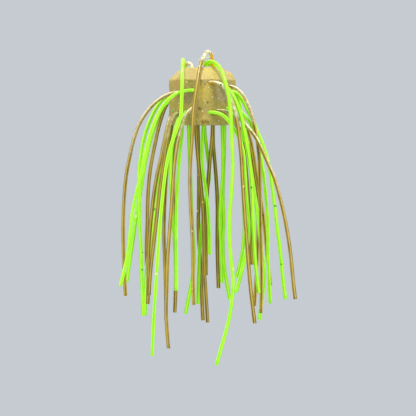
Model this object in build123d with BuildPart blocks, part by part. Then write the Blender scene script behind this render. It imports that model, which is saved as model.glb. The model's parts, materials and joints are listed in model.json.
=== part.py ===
"""Skirted soft plastic lure body: an eight-sided plug with limp rubber strands set round it.

Frame: +Z up, +X to the right, -Y towards the viewer. The origin is the middle of the flat underside,
where the plug rests on its post; the strands hang down past it. Every length is in millimetres.
"""
from build123d import *
import math
import os

# Plug
BODY_ACROSS_FLATS = 13.5
BODY_HEIGHT = 12.5
CROWN_CHAMFER = 2.7
BODY_SIDES = 8

# Strands
STRAND_DIAMETER = 0.8
STRAND_RADIUS = STRAND_DIAMETER / 2
ARC_SHARE_OF_RUN = 0.45

# The skirt opens out to the front and back as it falls
OPENING_TOP = 2.0  # height where it starts
OPENING_FALL = 40.0  # fall over which it builds up
OPENING_MOST = 0.45  # share added to a strand's depth by then

# Each route runs from the strand's seat inside the plug, out of its hole, and down to the cut end.
GREEN_ROUTES = [
    # front left, leaves low on the left front face and bows out to the left
    [(-0.3, -5.4, 7.5), (-3.1, -6.75, 7.55), (-5.9, -7.9, 6.75), (-8.2, -8.6, 4.7), (-10.0, -9.0, 1.6),
     (-11.4, -9.2, -2.2), (-12.4, -9.3, -6.2), (-13.2, -9.3, -10.5), (-14.35, -9.3, -15.0),
     (-15.3, -9.2, -19.5), (-15.65, -9.15, -24.0), (-16.2, -9.0, -28.5), (-17.0, -9.0, -32.0),
     (-17.75, -9.0, -35.0)],
    # left edge, high
    [(-5.0, 0.0, 6.7), (-7.9, 0.7, 6.45), (-10.1, 1.2, 4.0), (-11.7, 1.5, 0.5), (-12.8, 1.7, -2.7),
     (-13.5, 1.8, -6.8), (-14.0, 1.8, -11.5), (-13.7, 1.8, -17.0), (-13.75, 1.8, -21.5),
     (-13.4, 1.8, -27.0), (-13.3, 1.8, -32.0), (-13.1, 1.8, -37.0), (-12.95, 1.8, -41.6)],
    # left edge, below it
    [(-5.15, 0.45, 5.2), (-7.65, 1.25, 5.25), (-9.2, 1.9, 3.2), (-10.2, 2.3, 0.4), (-11.2, 2.6, -2.6),
     (-12.1, 2.8, -6.2), (-12.95, 2.9, -10.5), (-13.6, 2.9, -15.0), (-14.5, 2.9, -20.0),
     (-15.2, 2.8, -25.0), (-15.9, 2.8, -29.7), (-16.55, 2.8, -34.3)],
    # back left, low
    [(-4.8, 2.95, 3.28), (-6.5, 4.3, 2.8), (-7.3, 5.4, 1.0), (-7.6, 5.9, -1.9), (-8.1, 6.0, -5.0),
     (-8.9, 6.0, -9.0), (-9.6, 6.0, -13.0), (-10.3, 6.0, -17.5), (-10.9, 5.9, -22.0),
     (-11.5, 5.8, -26.0), (-12.2, 5.7, -31.2), (-12.55, 5.6, -36.5), (-12.6, 5.6, -41.6)],
    # front left corner, lowest
    [(-4.0, -3.75, 2.1), (-5.15, -5.95, 1.6), (-5.75, -7.1, -0.65), (-6.5, -7.5, -3.6), (-6.9, -7.7, -7.0),
     (-6.95, -7.7, -11.0), (-6.75, -7.4, -15.5), (-6.5, -7.1, -20.0), (-5.95, -6.9, -25.3),
     (-5.75, -6.8, -30.7), (-5.75, -6.8, -35.9)],
    # left front face, low
    [(-3.1, -4.05, 3.35), (-3.85, -6.35, 2.8), (-4.25, -7.5, 0.6), (-4.45, -7.8, -2.2),
     (-4.85, -7.9, -6.0), (-5.2, -8.0, -10.0), (-5.5, -8.0, -15.0), (-5.65, -7.9, -20.0),
     (-5.7, -7.9, -25.5), (-5.6, -7.9, -31.0), (-5.65, -7.9, -36.0)],
    # crown, left: arches forward over the left front face
    [(-3.75, 1.2, 10.8), (-4.0, 0.5, 13.7), (-4.3, -2.6, 14.5), (-4.35, -5.6, 12.5), (-4.4, -7.9, 9.3),
     (-4.5, -9.1, 5.3), (-4.65, -9.5, 1.6), (-5.6, -9.7, -1.2), (-6.8, -9.8, -4.3), (-7.75, -9.8, -8.3),
     (-8.45, -9.8, -13.5), (-9.0, -9.7, -19.5), (-9.55, -9.6, -26.5), (-10.0, -9.5, -34.0),
     (-10.55, -9.4, -42.0), (-10.85, -9.3, -50.0)],
    # back, left of the middle
    [(-3.0, 3.9, 6.3), (-3.0, 6.9, 5.9), (-3.1, 8.3, 3.2), (-3.05, 8.6, -1.0), (-2.9, 8.7, -5.0),
     (-2.7, 8.7, -10.0), (-2.5, 8.6, -16.0), (-2.25, 8.5, -22.0), (-1.8, 8.4, -28.0),
     (-2.0, 8.3, -32.5), (-3.0, 8.3, -37.5), (-3.7, 8.3, -41.3)],
    # back, right of the middle
    [(0.5, 4.95, 5.35), (0.6, 7.8, 4.8), (0.4, 9.1, 2.0), (0.45, 9.7, -1.8), (1.1, 9.9, -6.5),
     (1.65, 10.0, -10.5), (1.0, 10.0, -14.5), (0.2, 9.9, -19.0), (-0.35, 9.7, -24.0),
     (-0.8, 9.5, -29.0), (-0.9, 9.5, -34.2), (-1.05, 9.55, -39.2)],
    # back edge, low and short
    [(0.2, 5.2, 2.9), (0.25, 7.6, 2.2), (0.1, 8.6, -0.1), (-0.1, 8.5, -2.8), (-0.15, 8.1, -6.0),
     (0.0, 7.8, -9.6), (0.7, 7.5, -13.8), (1.25, 7.4, -18.5), (1.5, 7.3, -23.5), (1.5, 7.3, -28.3)],
    # right back face
    [(4.2, 3.6, 5.9), (4.25, 6.3, 5.4), (4.3, 8.2, 3.2), (4.35, 8.6, -0.8), (4.5, 8.4, -5.3),
     (4.55, 8.3, -10.3), (4.0, 8.2, -16.0), (3.8, 7.9, -21.5), (4.1, 7.8, -27.0),
     (4.25, 7.8, -31.0), (4.25, 7.8, -34.5)],
    # right back face, high
    [(4.6, 3.3, 8.2), (4.75, 6.1, 8.1), (4.8, 8.9, 5.6), (4.8, 9.6, 1.0), (4.8, 9.7, -4.0),
     (4.7, 9.7, -9.0), (4.4, 9.6, -15.0), (4.7, 9.5, -20.5), (4.4, 9.4, -26.0), (4.65, 9.3, -30.5),
     (5.3, 9.3, -34.6), (6.0, 9.3, -38.2)],
    # crown, right: lies back along the crown, turns, arches over the right front face and hangs lowest of all
    [(3.42, 1.72, 11.75), (2.9, 2.1, 13.05), (1.45, 2.4, 13.25), (0.4, 1.3, 13.1), (0.25, -0.6, 13.1),
     (1.0, -2.4, 13.75), (2.5, -3.9, 13.75), (3.8, -5.6, 12.5), (4.7, -7.8, 10.2), (5.55, -9.4, 7.0),
     (6.1, -9.8, 3.3), (6.25, -10.2, -0.6), (6.45, -10.3, -5.0),
     (6.6, -10.3, -10.0), (6.15, -10.2, -16.0), (5.7, -10.1, -22.5), (6.1, -10.0, -29.0),
     (6.8, -10.0, -34.5), (6.05, -10.0, -41.0), (4.55, -10.0, -46.6), (3.0, -10.0, -52.0)],
    # right edge, low
    [(4.7, 1.3, 4.0), (6.75, 3.15, 4.0), (8.5, 5.2, 2.6), (8.9, 5.6, -0.2), (8.5, 5.7, -3.2),
     (8.5, 5.6, -7.5), (8.75, 5.5, -13.0), (9.1, 5.4, -18.5), (9.2, 5.3, -23.5), (8.7, 5.3, -28.5),
     (7.5, 5.3, -33.2)],
    # right front face, low: leaves almost level and bends down past the corner
    [(0.25, -5.75, 2.6), (2.3, -6.85, 2.8), (4.5, -7.6, 2.15), (6.0, -7.7, 0.4), (7.3, -7.7, -1.7),
     (8.3, -7.6, -3.8), (9.0, -7.5, -6.5), (9.25, -7.2, -11.0), (9.55, -6.9, -16.0),
     (10.1, -6.9, -21.0), (10.0, -6.9, -25.0), (9.2, -6.9, -29.0), (8.2, -6.9, -33.0),
     (7.25, -6.9, -36.4)],
    # right front face, high
    [(2.25, -5.1, 9.0), (4.3, -6.15, 9.05), (5.9, -6.9, 7.5), (7.0, -7.2, 5.6), (7.9, -7.4, 3.4),
     (8.6, -7.5, 0.8), (9.1, -7.6, -2.0), (9.8, -7.7, -5.5), (10.4, -7.7, -9.5), (10.8, -7.7, -14.5),
     (10.9, -7.6, -20.0), (11.15, -7.6, -25.5), (11.5, -7.5, -31.1), (12.2, -7.5, -36.5)],
    # right edge, high
    [(5.45, -0.05, 7.9), (7.35, 1.3, 7.2), (8.1, 2.1, 5.0), (8.45, 2.5, 2.4), (9.25, 2.8, -1.2),
     (9.9, 2.9, -5.0), (10.5, 2.9, -9.5), (11.2, 2.9, -14.0), (11.95, 2.9, -18.5),
     (12.3, 2.8, -23.0), (13.1, 2.8, -28.0), (13.6, 2.8, -33.0), (13.0, 2.8, -38.0),
     (12.4, 2.8, -42.5)],
    # right front corner
    [(3.85, -4.55, 3.4), (6.1, -4.95, 3.6), (8.3, -4.7, 2.9), (9.85, -4.3, 1.25), (11.05, -4.1, -1.0),
     (12.1, -4.0, -3.8), (12.8, -4.0, -7.5), (13.4, -4.0, -12.0), (13.9, -4.0, -17.0),
     (14.25, -3.9, -22.5), (14.2, -3.9, -28.0), (14.4, -3.8, -33.5), (14.7, -3.8, -38.8)],
    # right face
    [(5.05, -1.85, 7.6), (7.3, -1.35, 7.3), (8.8, -1.2, 5.5), (9.9, -1.3, 3.0), (11.1, -1.4, 0.8),
     (11.9, -1.5, -1.3), (13.05, -1.6, -4.0), (14.05, -1.7, -6.9), (14.75, -1.7, -10.0),
     (15.2, -1.7, -14.0), (15.8, -1.7, -18.5), (16.3, -1.7, -23.0), (16.95, -1.6, -27.6),
     (17.4, -1.6, -32.8), (18.05, -1.6, -37.9)],
]

BROWN_ROUTES = [
    # left front corner: bows widest to the left
    [(-3.6, -4.75, 7.05), (-6.0, -5.25, 7.05), (-8.3, -5.6, 6.25), (-10.45, -5.9, 4.7), (-12.35, -6.1, 2.5),
     (-13.95, -6.2, -0.25), (-15.0, -6.3, -3.4), (-15.8, -6.3, -7.0), (-16.55, -6.3, -11.0),
     (-17.0, -6.2, -16.0), (-17.2, -6.2, -22.0), (-17.1, -6.1, -28.0), (-16.9, -6.1, -33.0),
     (-16.65, -6.1, -37.1)],
    # back left
    [(-4.45, 2.2, 6.3), (-6.6, 4.0, 6.25), (-8.1, 5.2, 4.2), (-9.0, 5.9, 1.7), (-9.8, 6.3, -1.2),
     (-10.5, 6.5, -4.5), (-11.3, 6.6, -8.5), (-11.8, 6.6, -12.5), (-12.05, 6.5, -17.0),
     (-12.1, 6.6, -21.5), (-12.35, 6.7, -26.5), (-12.25, 6.7, -30.7)],
    # left edge, lowest
    [(-6.0, 0.6, 2.3), (-7.15, -1.2, 1.7), (-7.65, -2.5, -0.4), (-8.2, -3.1, -3.1), (-8.8, -3.5, -6.2),
     (-9.7, -3.8, -10.0), (-10.5, -3.9, -14.5), (-11.0, -4.0, -19.0), (-11.45, -4.0, -23.6),
     (-11.8, -4.0, -28.7), (-11.7, -4.0, -33.9), (-11.85, -4.0, -38.9)],
    # left front corner, low
    [(-4.3, -3.4, 2.85), (-5.75, -5.5, 2.6), (-6.9, -6.8, 0.6), (-7.5, -7.4, -2.0), (-8.0, -7.7, -5.0),
     (-8.5, -7.8, -8.5), (-9.3, -7.6, -14.0), (-9.9, -7.4, -20.0), (-10.6, -7.2, -26.0),
     (-11.3, -7.0, -31.5), (-11.6, -6.9, -37.0)],
    # left front face, middle
    [(-1.6, -4.9, 3.85), (-2.5, -7.1, 3.6), (-3.7, -8.4, 1.9), (-4.7, -9.1, -0.6), (-5.3, -9.4, -3.4),
     (-5.9, -9.5, -7.0), (-6.3, -9.5, -11.5), (-6.6, -9.4, -17.0), (-7.1, -9.3, -23.0),
     (-7.55, -9.2, -29.0), (-7.7, -9.1, -35.5), (-7.95, -9.0, -42.0), (-7.3, -9.0, -48.4)],
    # crown, back left: small loop
    [(-2.0, 1.25, 11.5), (-2.2, 1.8, 13.05), (-3.3, 3.0, 13.75), (-4.25, 4.8, 12.3), (-5.2, 6.1, 9.5),
     (-6.1, 6.9, 5.6), (-6.45, 7.1, 1.8), (-6.9, 7.0, -1.8), (-7.45, 7.1, -5.5), (-7.9, 7.1, -10.5),
     (-8.3, 7.1, -17.0), (-8.5, 7.0, -24.0), (-8.2, 6.9, -31.0), (-8.0, 6.8, -37.5),
     (-8.0, 6.7, -42.7)],
    # back left face, low
    [(-3.85, 3.8, 4.5), (-4.9, 6.1, 4.0), (-5.4, 7.4, 1.8), (-5.5, 7.9, -1.4), (-6.1, 8.0, -5.0),
     (-6.4, 8.1, -9.5), (-6.45, 8.1, -15.0), (-6.35, 8.0, -21.0), (-6.0, 7.9, -28.0),
     (-5.8, 7.8, -34.8), (-6.1, 7.8, -41.0)],
    # crown, middle: the tall loop, comes down the front edge
    [(2.1, 1.4, 11.5), (2.2, 1.0, 13.7), (1.85, 0.1, 15.75), (1.0, -1.5, 16.1), (0.1, -3.5, 14.6),
     (-0.6, -5.8, 12.4), (-1.0, -7.9, 9.6), (-1.45, -9.0, 6.6), (-1.9, -9.5, 3.4), (-2.1, -9.7, 0.0),
     (-2.25, -9.7, -4.0), (-2.65, -9.6, -8.5), (-2.75, -9.5, -13.5), (-2.45, -9.4, -19.5),
     (-2.1, -9.3, -25.5), (-2.05, -9.2, -32.3), (-1.85, -9.2, -39.0)],
    # back, left of the middle, high
    [(-1.1, 4.7, 7.0), (-1.3, 7.6, 6.9), (-1.2, 9.9, 3.8), (-1.0, 10.7, -0.5), (-0.95, 10.9, -5.5),
     (-0.8, 10.9, -11.0), (-0.8, 10.8, -17.0), (-1.0, 10.7, -22.5), (-0.6, 10.6, -28.0),
     (-0.3, 10.5, -34.0), (-0.1, 10.5, -39.0), (0.1, 10.5, -42.8)],
    # back, left of the middle, low
    [(-1.5, 4.7, 3.6), (-1.6, 7.1, 2.9), (-1.5, 8.2, 0.6), (-1.35, 8.3, -2.9), (-1.0, 8.2, -7.3),
     (-0.4, 8.1, -12.5), (0.1, 8.0, -18.0), (0.3, 7.9, -24.5), (0.3, 7.8, -31.0), (0.75, 7.7, -37.15),
     (1.1, 7.7, -43.2)],
    # back, right of the middle, low
    [(2.15, 4.3, 4.3), (2.2, 7.1, 3.9), (2.2, 8.6, 1.2), (2.15, 8.9, -2.6), (1.75, 9.0, -6.2),
     (1.35, 9.0, -10.5), (1.0, 9.0, -15.0), (0.7, 8.9, -20.3), (0.7, 8.8, -26.6), (0.75, 8.8, -32.8)],
    # back, right of the middle, high
    [(2.4, 4.2, 7.5), (2.55, 7.0, 7.4), (2.5, 9.8, 4.6), (2.3, 10.4, 0.0), (2.3, 10.5, -4.0),
     (2.8, 10.5, -9.0), (3.2, 10.4, -14.5), (3.3, 10.3, -20.0), (3.2, 10.2, -25.5),
     (3.35, 10.1, -31.0), (3.5, 10.1, -35.7)],
    # right front face, high
    [(0.6, -5.9, 9.1), (2.6, -7.05, 9.35), (4.6, -7.9, 8.4), (5.9, -8.3, 6.0), (6.9, -8.5, 3.4),
     (7.6, -8.7, 0.4), (8.05, -8.8, -3.2), (8.45, -8.9, -7.5), (8.7, -8.9, -12.5), (9.05, -8.9, -18.0),
     (9.5, -8.8, -24.0), (9.95, -8.8, -30.4), (10.5, -8.7, -36.8), (11.3, -8.7, -43.0)],
    # right face, high
    [(4.35, -2.75, 8.5), (6.6, -3.7, 8.45), (8.5, -4.4, 7.0), (9.8, -4.9, 4.6), (10.8, -5.2, 1.9),
     (11.4, -5.4, -0.8), (12.0, -5.5, -4.0), (12.35, -5.6, -8.0), (12.5, -5.6, -13.0),
     (12.6, -5.6, -19.0), (12.7, -5.5, -26.5), (12.85, -5.4, -33.8), (12.65, -5.4, -40.9)],
    # right front face, low: bows widest to the right
    [(2.25, -5.35, 3.0), (4.2, -5.98, 3.15), (6.2, -6.45, 2.65), (7.9, -6.6, 1.5), (9.7, -6.7, -0.5),
     (11.4, -6.8, -2.4), (12.8, -6.9, -5.2), (14.1, -6.9, -8.2), (15.6, -6.9, -11.5),
     (16.8, -6.9, -15.8), (17.9, -6.8, -20.5), (18.75, -6.8, -25.5), (19.3, -6.7, -30.0),
     (19.65, -6.7, -34.3), (20.1, -6.7, -37.8)],
    # right edge, middle
    [(4.8, 1.35, 6.4), (7.0, 2.35, 5.95), (8.1, 3.25, 3.8), (8.8, 4.1, 1.6), (10.1, 4.5, -1.6),
     (11.0, 4.7, -5.2), (11.6, 4.7, -9.2), (12.15, 4.7, -13.3), (13.1, 4.6, -18.0),
     (13.7, 4.6, -23.5), (14.2, 4.5, -29.3), (14.9, 4.5, -35.0)],
    # right back face, low
    [(2.6, 4.4, 3.0), (3.9, 6.4, 3.0), (5.9, 8.1, 2.0), (7.4, 9.2, 0.3), (8.4, 9.7, -2.0),
     (9.1, 9.8, -5.5), (9.6, 9.8, -10.0), (10.0, 9.7, -15.0), (10.3, 9.6, -20.5), (10.5, 9.5, -26.0),
     (10.9, 9.5, -30.5)],
    # right back face, lowest
    [(2.85, 4.45, 1.6), (4.6, 6.2, 1.6), (6.6, 7.6, 1.0), (8.6, 8.0, -0.8), (10.0, 8.2, -3.6),
     (10.8, 8.2, -7.0), (11.5, 8.2, -11.5), (12.1, 8.1, -17.0), (12.2, 8.0, -23.0),
     (12.0, 7.9, -29.0), (11.7, 7.9, -34.5), (11.4, 7.8, -39.6)],
]


def opened(point):
    """A route's point, moved out to the front or back by how far down it hangs."""
    x, y, z = point
    fallen = min(max((OPENING_TOP - z) / OPENING_FALL, 0.0), 1.0)
    return (x, y * (1 + OPENING_MOST * fallen), z)


def corner_radii(points):
    """Radius of the arc at each inner point, as large as its two runs allow."""
    corners = [Vector(*point) for point in points]
    radii = []
    for before, corner, after in zip(corners, corners[1:], corners[2:]):
        run_in = corner - before
        run_out = after - corner
        half_turn = math.radians(run_in.get_angle(run_out)) / 2
        shorter_run = min(run_in.length, run_out.length)
        radii.append(ARC_SHARE_OF_RUN * shorter_run / math.tan(half_turn))
    return radii


def make_strand(name, points):
    """Sweep one strand along straight runs joined by tangent arcs, and write it."""
    radii = corner_radii(points)
    with BuildPart() as strand:
        with BuildLine() as route:
            FilletPolyline(*points, radius=radii)
        path = route.wire()
        with BuildSketch(Plane(origin=path @ 0, z_dir=path % 0)):
            Circle(STRAND_RADIUS)
        sweep(path=path)
    strand.part.label = name
    export_step(strand.part, f"parts/{name}.step")
    expected_volume = path.length * math.pi * STRAND_RADIUS**2
    volume_ratio = strand.part.volume / expected_volume
    print(f"{name}: length {path.length:.1f}, volume over section times length {volume_ratio:.4f}")
    print("  corner radii", " ".join(f"{radius:.1f}" for radius in radii))
    return strand.part


os.makedirs("parts", exist_ok=True)

strands = []
for colour, routes in (("green", GREEN_ROUTES), ("brown", BROWN_ROUTES)):
    for number, points in enumerate(routes, start=1):
        hanging = [opened(point) for point in points]
        strands.append(make_strand(f"strand_{colour}_{number:02d}", hanging))

# The plug: an octagonal prism with a chamfered crown, one blind hole round each strand's seat
with BuildPart() as lure_body:
    with BuildSketch():
        RegularPolygon(BODY_ACROSS_FLATS / 2, BODY_SIDES, major_radius=False)
    extrude(amount=BODY_HEIGHT)
    crown_edges = lure_body.faces().sort_by(Axis.Z)[-1].edges()
    chamfer(crown_edges, CROWN_CHAMFER)
    add(strands, mode=Mode.SUBTRACT)

lure_body.part.label = "lure_body"
export_step(lure_body.part, "parts/lure_body.step")
print(f"lure_body: volume {lure_body.part.volume:.1f}, box {lure_body.part.bounding_box()}")
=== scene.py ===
"""Looks of the skirted soft plastic lure body: a glitter-filled plug and its limp green and amber strands."""
import json
import math

import bpy
import numpy as np
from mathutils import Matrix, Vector, noise

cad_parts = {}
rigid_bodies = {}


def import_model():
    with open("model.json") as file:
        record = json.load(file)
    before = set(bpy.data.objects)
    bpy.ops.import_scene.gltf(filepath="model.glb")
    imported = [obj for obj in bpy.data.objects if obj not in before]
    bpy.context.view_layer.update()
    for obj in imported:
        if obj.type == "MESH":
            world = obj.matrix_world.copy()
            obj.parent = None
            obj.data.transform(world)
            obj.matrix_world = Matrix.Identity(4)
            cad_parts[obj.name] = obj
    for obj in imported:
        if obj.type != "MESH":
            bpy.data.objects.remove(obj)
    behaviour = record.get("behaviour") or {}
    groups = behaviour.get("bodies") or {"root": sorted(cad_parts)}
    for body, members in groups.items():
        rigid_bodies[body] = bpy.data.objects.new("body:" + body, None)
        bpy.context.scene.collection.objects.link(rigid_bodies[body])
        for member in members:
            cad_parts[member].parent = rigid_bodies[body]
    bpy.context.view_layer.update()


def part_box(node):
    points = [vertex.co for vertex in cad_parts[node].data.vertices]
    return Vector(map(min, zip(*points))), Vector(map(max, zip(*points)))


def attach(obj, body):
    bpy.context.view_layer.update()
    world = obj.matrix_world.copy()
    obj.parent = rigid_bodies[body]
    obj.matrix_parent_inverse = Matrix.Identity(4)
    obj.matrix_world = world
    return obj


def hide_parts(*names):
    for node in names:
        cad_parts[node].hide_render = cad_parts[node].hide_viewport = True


MM = 0.001

for leftover in list(bpy.data.objects):
    bpy.data.objects.remove(leftover)
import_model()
body_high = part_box("lure_body")[1]

# Plug, worked out from its box: the box runs from corner to corner of the octagon
SIDES = 8
HALF_SIDE_ANGLE = math.pi / SIDES
CORNER_REACH = body_high[0]
APOTHEM = CORNER_REACH * math.cos(HALF_SIDE_ANGLE)
BODY_HEIGHT = body_high[2]
CROWN_CHAMFER = 2.7 * MM

# Strands
STRAND_DIAMETER = 0.8 * MM
STRAND_RADIUS = STRAND_DIAMETER / 2

# Each route runs from the strand's seat inside the plug, out of its hole, and down to the cut end.
GREEN_ROUTES = [
    # front left, leaves low on the left front face and bows out to the left
    [(-0.3, -5.4, 7.5), (-3.1, -6.75, 7.55), (-5.9, -7.9, 6.75), (-8.2, -8.6, 4.7), (-10.0, -9.0, 1.6),
     (-11.4, -9.2, -2.2), (-12.4, -9.3, -6.2), (-13.2, -9.3, -10.5), (-14.35, -9.3, -15.0),
     (-15.3, -9.2, -19.5), (-15.65, -9.15, -24.0), (-16.2, -9.0, -28.5), (-17.0, -9.0, -32.0),
     (-17.75, -9.0, -35.0)],
    # left edge, high
    [(-5.0, 0.0, 6.7), (-7.9, 0.7, 6.45), (-10.1, 1.2, 4.0), (-11.7, 1.5, 0.5), (-12.8, 1.7, -2.7),
     (-13.5, 1.8, -6.8), (-14.0, 1.8, -11.5), (-13.7, 1.8, -17.0), (-13.75, 1.8, -21.5),
     (-13.4, 1.8, -27.0), (-13.3, 1.8, -32.0), (-13.1, 1.8, -37.0), (-12.95, 1.8, -41.6)],
    # left edge, below it
    [(-5.15, 0.45, 5.2), (-7.65, 1.25, 5.25), (-9.2, 1.9, 3.2), (-10.2, 2.3, 0.4), (-11.2, 2.6, -2.6),
     (-12.1, 2.8, -6.2), (-12.95, 2.9, -10.5), (-13.6, 2.9, -15.0), (-14.5, 2.9, -20.0),
     (-15.2, 2.8, -25.0), (-15.9, 2.8, -29.7), (-16.55, 2.8, -34.3)],
    # back left, low
    [(-4.8, 2.95, 3.28), (-6.5, 4.3, 2.8), (-7.3, 5.4, 1.0), (-7.6, 5.9, -1.9), (-8.1, 6.0, -5.0),
     (-8.9, 6.0, -9.0), (-9.6, 6.0, -13.0), (-10.3, 6.0, -17.5), (-10.9, 5.9, -22.0),
     (-11.5, 5.8, -26.0), (-12.2, 5.7, -31.2), (-12.55, 5.6, -36.5), (-12.6, 5.6, -41.6)],
    # front left corner, lowest
    [(-4.0, -3.75, 2.1), (-5.15, -5.95, 1.6), (-5.75, -7.1, -0.65), (-6.5, -7.5, -3.6), (-6.9, -7.7, -7.0),
     (-6.95, -7.7, -11.0), (-6.75, -7.4, -15.5), (-6.5, -7.1, -20.0), (-5.95, -6.9, -25.3),
     (-5.75, -6.8, -30.7), (-5.75, -6.8, -35.9)],
    # left front face, low
    [(-3.1, -4.05, 3.35), (-3.85, -6.35, 2.8), (-4.25, -7.5, 0.6), (-4.45, -7.8, -2.2),
     (-4.85, -7.9, -6.0), (-5.2, -8.0, -10.0), (-5.5, -8.0, -15.0), (-5.65, -7.9, -20.0),
     (-5.7, -7.9, -25.5), (-5.6, -7.9, -31.0), (-5.65, -7.9, -36.0)],
    # crown, left: arches forward over the left front face
    [(-3.75, 1.2, 10.8), (-4.0, 0.5, 13.7), (-4.3, -2.6, 14.5), (-4.35, -5.6, 12.5), (-4.4, -7.9, 9.3),
     (-4.5, -9.1, 5.3), (-4.65, -9.5, 1.6), (-5.6, -9.7, -1.2), (-6.8, -9.8, -4.3), (-7.75, -9.8, -8.3),
     (-8.45, -9.8, -13.5), (-9.0, -9.7, -19.5), (-9.55, -9.6, -26.5), (-10.0, -9.5, -34.0),
     (-10.55, -9.4, -42.0), (-10.85, -9.3, -50.0)],
    # back, left of the middle
    [(-3.0, 3.9, 6.3), (-3.0, 6.9, 5.9), (-3.1, 8.3, 3.2), (-3.05, 8.6, -1.0), (-2.9, 8.7, -5.0),
     (-2.7, 8.7, -10.0), (-2.5, 8.6, -16.0), (-2.25, 8.5, -22.0), (-1.8, 8.4, -28.0),
     (-2.0, 8.3, -32.5), (-3.0, 8.3, -37.5), (-3.7, 8.3, -41.3)],
    # back, right of the middle
    [(0.5, 4.95, 5.35), (0.6, 7.8, 4.8), (0.4, 9.1, 2.0), (0.45, 9.7, -1.8), (1.1, 9.9, -6.5),
     (1.65, 10.0, -10.5), (1.0, 10.0, -14.5), (0.2, 9.9, -19.0), (-0.35, 9.7, -24.0),
     (-0.8, 9.5, -29.0), (-0.9, 9.5, -34.2), (-1.05, 9.55, -39.2)],
    # back edge, low and short
    [(0.2, 5.2, 2.9), (0.25, 7.6, 2.2), (0.1, 8.6, -0.1), (-0.1, 8.5, -2.8), (-0.15, 8.1, -6.0),
     (0.0, 7.8, -9.6), (0.7, 7.5, -13.8), (1.25, 7.4, -18.5), (1.5, 7.3, -23.5), (1.5, 7.3, -28.3)],
    # right back face
    [(4.2, 3.6, 5.9), (4.25, 6.3, 5.4), (4.3, 8.2, 3.2), (4.35, 8.6, -0.8), (4.5, 8.4, -5.3),
     (4.55, 8.3, -10.3), (4.0, 8.2, -16.0), (3.8, 7.9, -21.5), (4.1, 7.8, -27.0),
     (4.25, 7.8, -31.0), (4.25, 7.8, -34.5)],
    # right back face, high
    [(4.6, 3.3, 8.2), (4.75, 6.1, 8.1), (4.8, 8.9, 5.6), (4.8, 9.6, 1.0), (4.8, 9.7, -4.0),
     (4.7, 9.7, -9.0), (4.4, 9.6, -15.0), (4.7, 9.5, -20.5), (4.4, 9.4, -26.0), (4.65, 9.3, -30.5),
     (5.3, 9.3, -34.6), (6.0, 9.3, -38.2)],
    # crown, right: lies back along the crown, turns, arches over the right front face and hangs lowest of all
    [(3.42, 1.72, 11.75), (2.9, 2.1, 13.05), (1.45, 2.4, 13.25), (0.4, 1.3, 13.1), (0.25, -0.6, 13.1),
     (1.0, -2.4, 13.75), (2.5, -3.9, 13.75), (3.8, -5.6, 12.5), (4.7, -7.8, 10.2), (5.55, -9.4, 7.0),
     (6.1, -9.8, 3.3), (6.25, -10.2, -0.6), (6.45, -10.3, -5.0),
     (6.6, -10.3, -10.0), (6.15, -10.2, -16.0), (5.7, -10.1, -22.5), (6.1, -10.0, -29.0),
     (6.8, -10.0, -34.5), (6.05, -10.0, -41.0), (4.55, -10.0, -46.6), (3.0, -10.0, -52.0)],
    # right edge, low
    [(4.7, 1.3, 4.0), (6.75, 3.15, 4.0), (8.5, 5.2, 2.6), (8.9, 5.6, -0.2), (8.5, 5.7, -3.2),
     (8.5, 5.6, -7.5), (8.75, 5.5, -13.0), (9.1, 5.4, -18.5), (9.2, 5.3, -23.5), (8.7, 5.3, -28.5),
     (7.5, 5.3, -33.2)],
    # right front face, low: leaves almost level and bends down past the corner
    [(0.25, -5.75, 2.6), (2.3, -6.85, 2.8), (4.5, -7.6, 2.15), (6.0, -7.7, 0.4), (7.3, -7.7, -1.7),
     (8.3, -7.6, -3.8), (9.0, -7.5, -6.5), (9.25, -7.2, -11.0), (9.55, -6.9, -16.0),
     (10.1, -6.9, -21.0), (10.0, -6.9, -25.0), (9.2, -6.9, -29.0), (8.2, -6.9, -33.0),
     (7.25, -6.9, -36.4)],
    # right front face, high
    [(2.25, -5.1, 9.0), (4.3, -6.15, 9.05), (5.9, -6.9, 7.5), (7.0, -7.2, 5.6), (7.9, -7.4, 3.4),
     (8.6, -7.5, 0.8), (9.1, -7.6, -2.0), (9.8, -7.7, -5.5), (10.4, -7.7, -9.5), (10.8, -7.7, -14.5),
     (10.9, -7.6, -20.0), (11.15, -7.6, -25.5), (11.5, -7.5, -31.1), (12.2, -7.5, -36.5)],
    # right edge, high
    [(5.45, -0.05, 7.9), (7.35, 1.3, 7.2), (8.1, 2.1, 5.0), (8.45, 2.5, 2.4), (9.25, 2.8, -1.2),
     (9.9, 2.9, -5.0), (10.5, 2.9, -9.5), (11.2, 2.9, -14.0), (11.95, 2.9, -18.5),
     (12.3, 2.8, -23.0), (13.1, 2.8, -28.0), (13.6, 2.8, -33.0), (13.0, 2.8, -38.0),
     (12.4, 2.8, -42.5)],
    # right front corner
    [(3.85, -4.55, 3.4), (6.1, -4.95, 3.6), (8.3, -4.7, 2.9), (9.85, -4.3, 1.25), (11.05, -4.1, -1.0),
     (12.1, -4.0, -3.8), (12.8, -4.0, -7.5), (13.4, -4.0, -12.0), (13.9, -4.0, -17.0),
     (14.25, -3.9, -22.5), (14.2, -3.9, -28.0), (14.4, -3.8, -33.5), (14.7, -3.8, -38.8)],
    # right face
    [(5.05, -1.85, 7.6), (7.3, -1.35, 7.3), (8.8, -1.2, 5.5), (9.9, -1.3, 3.0), (11.1, -1.4, 0.8),
     (11.9, -1.5, -1.3), (13.05, -1.6, -4.0), (14.05, -1.7, -6.9), (14.75, -1.7, -10.0),
     (15.2, -1.7, -14.0), (15.8, -1.7, -18.5), (16.3, -1.7, -23.0), (16.95, -1.6, -27.6),
     (17.4, -1.6, -32.8), (18.05, -1.6, -37.9)],
]

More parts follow.
